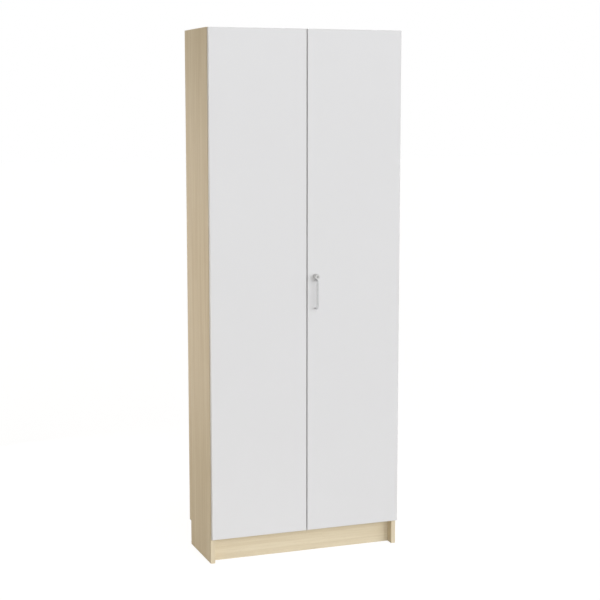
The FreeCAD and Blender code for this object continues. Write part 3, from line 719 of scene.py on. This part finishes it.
def noise(tree, vector, scale, detail=2.0, roughness=0.5, distortion=0.0):
    """A noise value about 0.5."""
    inputs = {"Vector": vector, "Scale": scale, "Detail": detail, "Roughness": roughness,
              "Distortion": distortion}
    return add_node(tree, "ShaderNodeTexNoise", inputs).outputs[0]


def new_group(name, inputs, outputs):
    """A shader node group whose inputs and outputs are given as names with their kinds."""
    tree = bpy.data.node_groups.new(name, "ShaderNodeTree")
    for label, kind in inputs.items():
        tree.interface.new_socket(label, in_out="INPUT", socket_type=kind)
    for label, kind in outputs.items():
        tree.interface.new_socket(label, in_out="OUTPUT", socket_type=kind)
    return tree, tree.nodes.new("NodeGroupInput").outputs, tree.nodes.new("NodeGroupOutput").inputs


def place_group(tree, group, inputs):
    """Places a node group in a material with its own values."""
    return add_node(tree, "ShaderNodeGroup", inputs, node_tree=group).outputs


# Patterns

def make_straight_grain():
    """Straight wood grain along Z: fine streaks, broad bands and short pores."""
    tree, given, result = new_group(
        "straight_grain",
        {"Vector": VECTOR, "Streaks": VALUE, "Bands": VALUE},
        {"Tone": VALUE, "Pores": VALUE, "Height": VALUE})
    drawn = drawn_out(tree, given["Vector"], STREAK_DRAW)
    waved = drawn_out(tree, given["Vector"], BAND_DRAW)
    dashed = drawn_out(tree, given["Vector"], PORE_DRAW)
    middle_scale = times(tree, given["Streaks"], MIDDLE_FINENESS)
    pore_scale = times(tree, given["Streaks"], PORE_FINENESS)
    streaks = noise(tree, drawn, given["Streaks"], detail=3.0, roughness=0.6)
    bands = noise(tree, waved, given["Bands"], distortion=0.6)
    middle = noise(tree, drawn, middle_scale, roughness=0.55)
    pores = ramp(tree, noise(tree, dashed, pore_scale, detail=1.0), *PORE_RANGE)
    tone = plus(tree, times(tree, streaks, STREAK_SHARE), times(tree, bands, BAND_SHARE))
    tone = plus(tree, tone, times(tree, middle, MIDDLE_SHARE))
    link_all(tree, result, {
        "Tone": ramp(tree, tone, *GRAIN_TONE_RANGE), "Pores": pores, "Height": minus(tree, streaks, pores)})
    return tree


def make_board_edges():
    """Tells a board's edges from its faces, and finds the joint where the edge band meets the face."""
    tree, given, result = new_group(
        "board_edges",
        {"Position": VECTOR, "Normal": VECTOR, "Low": VECTOR, "High": VECTOR, "Flat": VECTOR,
         "Raw": VECTOR, "Band": VALUE},
        {"Edge": VALUE, "Joint": VALUE, "Raw": VALUE})
    facing = dot(tree, vector_node(tree, "ABSOLUTE", given["Normal"]), given["Flat"])
    edge = ramp(tree, facing, *EDGE_FACING)
    to_low = vector_node(tree, "SUBTRACT", given["Position"], given["Low"])
    to_high = vector_node(tree, "SUBTRACT", given["High"], given["Position"])
    nearest = vector_node(tree, "ADD", vector_node(tree, "MINIMUM", to_low, to_high), given["Flat"])
    parts = split(tree, nearest)
    distance = math_node(tree, "MINIMUM", math_node(tree, "MINIMUM", parts[0], parts[1]), parts[2])
    off_line = math_node(tree, "ABSOLUTE", minus(tree, distance, given["Band"]))
    line = ramp(tree, off_line, *JOINT_LINE)
    bare = ramp(tree, dot(tree, given["Normal"], given["Raw"]), *BARE_FACING)
    link_all(tree, result, {
        "Edge": edge, "Joint": times(tree, line, minus(tree, 1.0, edge)), "Raw": times(tree, bare, edge)})
    return tree


def make_chip_core():
    """Pressed wood chips of a board's bare edge."""
    tree, given, result = new_group(
        "chip_core",
        {"Vector": VECTOR, "Light": COLOUR, "Dark": COLOUR},
        {"Color": COLOUR, "Height": VALUE})
    cells = {"Vector": given["Vector"], "Scale": FLAKE_SCALE, "Randomness": 1.0}
    flakes = add_node(tree, "ShaderNodeTexVoronoi", cells)
    shade = split(tree, flakes.outputs["Color"])[0]
    dust = noise(tree, given["Vector"], DUST_SCALE, detail=3.0, roughness=0.6)
    share = plus(tree, times(tree, shade, FLAKE_SHARE), times(tree, dust, DUST_SHARE))
    colour = blend_colour(tree, ramp(tree, share, *CHIP_RANGE), given["Light"], given["Dark"])
    link_all(tree, result, {"Color": colour, "Height": share})
    return tree


def make_laminate_skin():
    """Fine pearl relief of a pressed laminate, with a faint unevenness of sheen."""
    tree, given, result = new_group(
        "laminate_skin",
        {"Vector": VECTOR, "Pearl": VALUE, "Matt": VALUE},
        {"Roughness": VALUE, "Height": VALUE, "Cloud": VALUE})
    pearl = noise(tree, given["Vector"], given["Pearl"])
    cloud = noise(tree, given["Vector"], CLOUD_SCALE)
    sheen = off_middle(tree, cloud, CLOUD_UNEVENNESS)
    speck = off_middle(tree, pearl, PEARL_UNEVENNESS)
    roughness = plus(tree, plus(tree, sheen, speck), given["Matt"])
    link_all(tree, result, {"Roughness": roughness, "Height": pearl, "Cloud": cloud})
    return tree


def make_satin_metal():
    """Fine drawn lines and soft patches of a satin or plated metal; the lines run along Z of the vector."""
    tree, given, result = new_group(
        "satin_metal",
        {"Vector": VECTOR, "Lines": VALUE, "Patches": VALUE, "Matt": VALUE},
        {"Tone": VALUE, "Roughness": VALUE, "Height": VALUE})
    lines = noise(tree, drawn_out(tree, given["Vector"], LINE_DRAW), given["Lines"], roughness=0.6)
    patches = noise(tree, given["Vector"], given["Patches"], detail=3.0, roughness=0.55)
    uneven = off_middle(tree, patches, PATCH_UNEVENNESS)
    scored = off_middle(tree, lines, LINE_UNEVENNESS)
    mean = times(tree, plus(tree, lines, patches), 0.5)
    roughness = plus(tree, plus(tree, uneven, scored), given["Matt"])
    link_all(tree, result, {
        "Tone": ramp(tree, mean, *METAL_TONE_RANGE), "Roughness": roughness, "Height": lines})
    return tree


straight_grain = make_straight_grain()
board_edges = make_board_edges()
chip_core = make_chip_core()
laminate_skin = make_laminate_skin()
satin_metal = make_satin_metal()


# Materials

def new_material(name):
    """An empty material: its tree, its shader and the object's own coordinates."""
    material = bpy.data.materials.new(name)
    tree = cleared_tree(material)
    shader = add_node(tree, "ShaderNodeBsdfPrincipled")
    add_node(tree, "ShaderNodeOutputMaterial", {"Surface": shader.outputs[0]})
    place = add_node(tree, "ShaderNodeTexCoord").outputs
    return material, tree, shader, place


def relief(tree, shader, height, depth):
    """Gives a shader the relief of a height, a depth in metres."""
    bump = add_node(tree, "ShaderNodeBump", {"Height": height, "Distance": depth, "Strength": 1.0})
    tree.links.new(bump.outputs[0], shader.inputs["Normal"])


def feed(tree, shader, colour, roughness):
    """Colour and roughness of a shader."""
    link_all(tree, shader.inputs, {"Base Color": colour, "Roughness": roughness})


def edges_of(tree, place, node, flat, band, bare):
    """The board edge masks of one node."""
    low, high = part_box(node)
    return place_group(tree, board_edges, {
        "Position": place["Object"], "Normal": place["Normal"], "Low": low, "High": high,
        "Flat": AXIS[flat], "Raw": bare, "Band": band})


def grain_of(tree, vector, streaks, bands):
    """Wood grain of a fineness."""
    return place_group(tree, straight_grain, {"Vector": vector, "Streaks": streaks, "Bands": bands})


def skin_of(tree, place, pearl, matt):
    """Laminate skin of a fineness and a roughness."""
    return place_group(tree, laminate_skin, {"Vector": place["Object"], "Pearl": pearl, "Matt": matt})


def chips_of(tree, place, light, dark):
    """Pressed chips in two colours."""
    return place_group(tree, chip_core, {"Vector": place["Object"], "Light": light, "Dark": dark})


def birch_board(node, grain, flat):
    """Birch-look laminate of one board: grain along one axis, edge bands, bare chips below and behind."""
    material, tree, shader, place = new_material("birch_" + node)
    mapping = {"Vector": place["Object"], "Rotation": GRAIN_TURN[grain]}
    turned = add_node(tree, "ShaderNodeMapping", mapping).outputs[0]
    wood = grain_of(tree, turned, BIRCH_STREAKS, BIRCH_BANDS)
    skin = skin_of(tree, place, BIRCH_PEARL, BIRCH_MATT)
    edges = edges_of(tree, place, node, flat, EDGE_BAND, BARE_WAYS)
    chips = chips_of(tree, place, CHIP_LIGHT, CHIP_DARK)
    colour = blend_colour(tree, wood["Tone"], BIRCH_LIGHT, BIRCH_DARK)
    colour = blend_colour(tree, times(tree, wood["Pores"], BIRCH_PORE_SHARE), colour, BIRCH_PORE)
    colour = blend_colour(tree, times(tree, edges["Edge"], BIRCH_BAND_SHARE), colour, BAND_TINT)
    colour = blend_colour(tree, times(tree, edges["Joint"], BIRCH_JOINT_SHARE), colour, JOINT_SHADE)
    colour = blend_colour(tree, edges["Raw"], colour, chips["Color"])
    feed(tree, shader, colour, plus(tree, skin["Roughness"], times(tree, edges["Raw"], BARE_DULLING)))
    height = plus(tree, wood["Height"], times(tree, edges["Raw"], chips["Height"]))
    relief(tree, shader, height, BIRCH_RELIEF)
    shader.inputs["Specular IOR Level"].default_value = BIRCH_SPECULAR
    return material


def white_door(node):
    """Matt grey-white laminate of one door, with its edge band joint."""
    material, tree, shader, place = new_material("white_" + node)
    skin = skin_of(tree, place, DOOR_PEARL, DOOR_MATT)
    edges = edges_of(tree, place, node, "y", DOOR_BAND, NO_BARE_WAYS)
    colour = blend_colour(tree, skin["Cloud"], DOOR_WHITE, DOOR_SHADE)
    colour = blend_colour(tree, times(tree, edges["Joint"], DOOR_JOINT_SHARE), colour, JOINT_SHADE)
    feed(tree, shader, colour, skin["Roughness"])
    relief(tree, shader, skin["Height"], DOOR_RELIEF)
    shader.inputs["Specular IOR Level"].default_value = DOOR_SPECULAR
    return material


def back_sheet():
    """Thin fibre board: birch print towards the inside, bare pressed fibre behind."""
    material, tree, shader, place = new_material("back_sheet")
    wood = grain_of(tree, place["Object"], BIRCH_STREAKS, BIRCH_BANDS)
    chips = chips_of(tree, place, FIBRE_LIGHT, FIBRE_DARK)
    printed = blend_colour(tree, wood["Tone"], BIRCH_LIGHT, BIRCH_DARK)
    front_share = ramp(tree, dot(tree, place["Normal"], TOWARD_ROOM), *PRINT_FACING)
    colour = blend_colour(tree, front_share, chips["Color"], printed)
    feed(tree, shader, colour, ramp(tree, front_share, 0.0, 1.0, *BACK_MATT))
    relief(tree, shader, chips["Height"], BACK_RELIEF)
    shader.inputs["Specular IOR Level"].default_value = BACK_SPECULAR
    return material


def beech_dowel():
    """Plain beech of the dowels."""
    material, tree, shader, place = new_material("beech_dowel")
    wood = grain_of(tree, place["Object"], BEECH_STREAKS, BEECH_BANDS)
    colour = blend_colour(tree, wood["Tone"], BEECH_LIGHT, BEECH_DARK)
    feed(tree, shader, colour, ramp(tree, wood["Tone"], 0.0, 1.0, *BEECH_MATT))
    relief(tree, shader, wood["Height"], BEECH_RELIEF)
    return material


def start_metal(name, matt, lines, patches):
    """A metal with its satin pattern, still without colour and relief."""
    material, tree, shader, place = new_material(name)
    shader.inputs["Metallic"].default_value = 1.0
    satin = place_group(tree, satin_metal, {
        "Vector": place["Object"], "Matt": matt, "Lines": lines, "Patches": patches})
    return material, tree, shader, place, satin


def plain_metal(name, light, dark, matt, lines, patches, depth):
    """A satin or plated metal."""
    material, tree, shader, place, satin = start_metal(name, matt, lines, patches)
    feed(tree, shader, blend_colour(tree, satin["Tone"], light, dark), satin["Roughness"])
    relief(tree, shader, satin["Height"], depth)
    return material


def lock_nickel():
    """Satin nickel turned on a lathe: fine rings about the lock's axis; painted shade darkens the side wall
    and the plug face, and a near-black painted shade fills the keyway.
    """
    material, tree, shader, place, satin = start_metal(
        "lock_nickel", NICKEL_MATT, NICKEL_LINES, NICKEL_PATCHES)
    axis = lock_axis()
    plug_low, plug_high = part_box("lock_plug")
    plug = (plug_high.x - plug_low.x) / 2
    centred = vector_node(tree, "SUBTRACT", place["Object"], (axis.x, 0, axis.z))
    flat = vector_node(tree, "MULTIPLY", centred, (1, 0, 1))
    radius = vector_node(tree, "LENGTH", flat, result="Value")
    rings = math_node(tree, "SINE", times(tree, radius, TURNING_LINES))
    relief(tree, shader, plus(tree, satin["Height"], rings), NICKEL_RELIEF)
    toward_face = dot(tree, place["Normal"], TOWARD_ROOM)
    face_without_wall_shade = ramp(tree, toward_face, *NICKEL_FACING)
    dulling = ramp(tree, toward_face, *NICKEL_FACING, low=NICKEL_WALL_DULLING, high=0.0)
    plug_shade_share = ramp(tree, radius, plug + PLUG_PLAY, plug - PLUG_PLAY)
    depth = split(tree, place["Object"])[1]
    # Masks of the painted shade in the keyway: depth into the slot and nearness to its middle
    inside = ramp(tree, depth, plug_low.y + SLOT_SHADE_START, plug_low.y + SLOT_SHADE_END)
    keyway_shade_reach = ramp(tree, radius, KEYWAY_HEIGHT / 2 + SLOT_SHADE_MARGIN, KEYWAY_HEIGHT / 2)
    colour = blend_colour(tree, satin["Tone"], NICKEL_LIGHT, NICKEL_DARK)
    # Painted shade: the side wall, away from the face, gets the darker wall colour
    colour = blend_colour(tree, face_without_wall_shade, NICKEL_WALL_PAINTED_SHADE, colour)
    # Painted shade: the plug face is darkened round the keyway
    colour = blend_colour(tree, plug_shade_share, colour, NICKEL_PLUG_PAINTED_SHADE)
    # Painted shade: the keyway is coloured near black
    colour = blend_colour(tree, times(tree, inside, keyway_shade_reach), colour, KEYWAY_PAINTED_SHADE)
    feed(tree, shader, colour, plus(tree, satin["Roughness"], dulling))
    return material


def clear_buffer():
    """Soft clear plastic of the door buffers."""
    material, tree, shader, place = new_material("clear_buffer")
    skin = skin_of(tree, place, BUFFER_PEARL, BUFFER_MATT)
    shader.inputs["Base Color"].default_value = BUFFER_CLEAR
    tree.links.new(skin["Roughness"], shader.inputs["Roughness"])
    shader.inputs["Transmission Weight"].default_value = BUFFER_TRANSMISSION
    shader.inputs["IOR"].default_value = BUFFER_IOR
    return material


def dress(obj, material):
    """Gives an object one material."""
    obj.data.materials.clear()
    obj.data.materials.append(material)


def dress_boards():
    """Boards, doors, back and dowels."""
    for node, (grain, flat) in BOARDS.items():
        dress(nodes[node], birch_board(node, grain, flat))
    for node in DOORS:
        dress(nodes[node], white_door(node))
    dress(nodes["back_panel"], back_sheet())
    dress(nodes["carcass_dowels"], beech_dowel())


def dress_fittings():
    """Zinc-plated steel, clear buffers, the handle and the lock."""
    zinc = plain_metal("zinc_plate", ZINC_LIGHT, ZINC_DARK, ZINC_MATT, ZINC_LINES, ZINC_PATCHES, ZINC_RELIEF)
    dress(nodes["cam_bolts"], zinc)
    for node in EASED_NODES:
        dress(ease_edges(node), zinc)
    for node, inward in SCREW_GROUPS.items():
        dress(model_screw_group(node, inward), zinc)
    plastic = clear_buffer()
    for node in BUFFERS:
        dress(model_buffers(node), plastic)
    satin = plain_metal(
        "satin_handle", SATIN_LIGHT, SATIN_DARK, SATIN_MATT, SATIN_LINES, SATIN_PATCHES, SATIN_RELIEF)
    dress(model_pull_handle(), satin)
    nickel = lock_nickel()
    dress(model_lock_head(), nickel)
    dress(model_key_plug(), nickel)


# Studio

def shown_ray(tree):
    """1 for rays that show the background: straight to the camera, off metal or through plastic."""
    path = add_node(tree, "ShaderNodeLightPath").outputs
    total = plus(tree, path["Is Camera Ray"], path["Is Glossy Ray"])
    return math_node(tree, "ADD", total, path["Is Transmission Ray"], clamp=True)


def diffuse_grey(tree, tone):
    """A plain grey surface."""
    return add_node(tree, "ShaderNodeBsdfDiffuse", {"Color": (tone, tone, tone, 1.0)}).outputs[0]


def make_floor():
    """Pale floor that looks white and keeps the shadow."""
    clear_selection()
    bpy.ops.mesh.primitive_plane_add(size=FLOOR_SIZE)
    floor = bpy.context.object
    floor.name = "studio_floor"
    material = bpy.data.materials.new("studio_floor")
    tree = cleared_tree(material)
    glow = add_node(tree, "ShaderNodeEmission", {"Strength": FLOOR_SHOWN_GLOW}).outputs[0]
    shown = add_node(tree, "ShaderNodeAddShader", {0: diffuse_grey(tree, FLOOR_SHOWN_TONE), 1: glow})
    lit = diffuse_grey(tree, FLOOR_TONE)
    mix = add_node(tree, "ShaderNodeMixShader", {0: shown_ray(tree), 1: lit, 2: shown.outputs[0]})
    add_node(tree, "ShaderNodeOutputMaterial", {"Surface": mix.outputs[0]})
    dress(floor, material)


def make_world():
    """Soft even light all round, seen as white."""
    world = bpy.data.worlds.new("studio_air")
    bpy.context.scene.world = world
    tree = cleared_tree(world)
    soft = add_node(tree, "ShaderNodeBackground", {"Color": AMBIENT_COLOUR, "Strength": AMBIENT_LEVEL})
    white = add_node(tree, "ShaderNodeBackground", {"Color": WHITE, "Strength": 1.0})
    sides = {0: shown_ray(tree), 1: soft.outputs[0], 2: white.outputs[0]}
    mix = add_node(tree, "ShaderNodeMixShader", sides)
    add_node(tree, "ShaderNodeOutputWorld", {"Surface": mix.outputs[0]})


def way_to(bearing, height):
    """The way to a bearing, to the right of the front, and a height over the floor."""
    level = math.cos(height)
    return Vector((math.sin(bearing) * level, -math.cos(bearing) * level, math.sin(height)))


def set_up_lamp(name, light, back, place=(0, 0, 0)):
    """Puts a light in the studio so that it shines away from its back."""
    lamp = bpy.data.objects.new(name, light)
    lamp.location = place
    lamp.rotation_euler = back.to_track_quat("Z", "Y").to_euler()
    lamp.visible_camera = False
    lamp.visible_glossy = False
    bpy.context.scene.collection.objects.link(lamp)
    return lamp


def add_sun(name, level, bearing, height, spread):
    """A broad lamp far away, at a bearing to the right of the front and a height over the floor."""
    sun = bpy.data.lights.new(name, "SUN")
    sun.energy = level * math.pi
    sun.angle = spread
    sun.color = SUN_COLOUR
    return set_up_lamp(name, sun, way_to(bearing, height))


def add_soft_box(name, watts, place, back, size, spread, colour):
    """An upright lamp of a width and a height."""
    light = bpy.data.lights.new(name, "AREA")
    light.shape = "RECTANGLE"
    light.size, light.size_y = size
    light.spread = spread
    light.energy = watts
    light.color = colour
    return set_up_lamp(name, light, back, place)


def make_lamps():
    """A soft key from the right, a broad fill, soft lamps for the left side and the back, and a tall one.

    The tall lamp stands behind on the left and shows as sheen on the left side."""
    add_sun("key", KEY_LEVEL, KEY_BEARING, KEY_HEIGHT, KEY_SPREAD)
    add_sun("fill", FILL_LEVEL, FILL_BEARING, FILL_HEIGHT, FILL_SPREAD)
    add_soft_box("side", SIDE_LAMP_WATTS, SIDE_LAMP_PLACE, SIDE_LAMP_BACK, SIDE_LAMP_SIZE,
                 FULL_SPREAD, SIDE_LAMP_COLOUR)
    add_soft_box("rear", REAR_LAMP_WATTS, REAR_LAMP_PLACE, REAR_LAMP_BACK, REAR_LAMP_SIZE,
                 REAR_LAMP_SPREAD, SUN_COLOUR)
    tall = add_soft_box("tall", TALL_LAMP_WATTS, TALL_LAMP_PLACE, TALL_LAMP_BACK, TALL_LAMP_SIZE,
                        FULL_SPREAD, WHITE[:3])
    tall.visible_glossy = True


def make_camera():
    """The camera of the photograph, to the left of the front and a little above."""
    lens = bpy.data.cameras.new("photo_camera")
    lens.sensor_width = SENSOR_MM
    lens.lens = FOCAL_PIXELS / IMAGE_PIXELS * SENSOR_MM
    camera = bpy.data.objects.new("photo_camera", lens)
    camera.location = CAMERA_PLACE
    sight = -way_to(-CAMERA_BEARING, CAMERA_DIP)
    camera.rotation_euler = sight.to_track_quat("-Z", "Y").to_euler()
    bpy.context.scene.collection.objects.link(camera)
    bpy.context.scene.camera = camera


dress_boards()
dress_fittings()
make_floor()
make_world()
make_lamps()
make_camera()
bpy.context.scene.view_settings.view_transform = "Standard"

clear_selection()
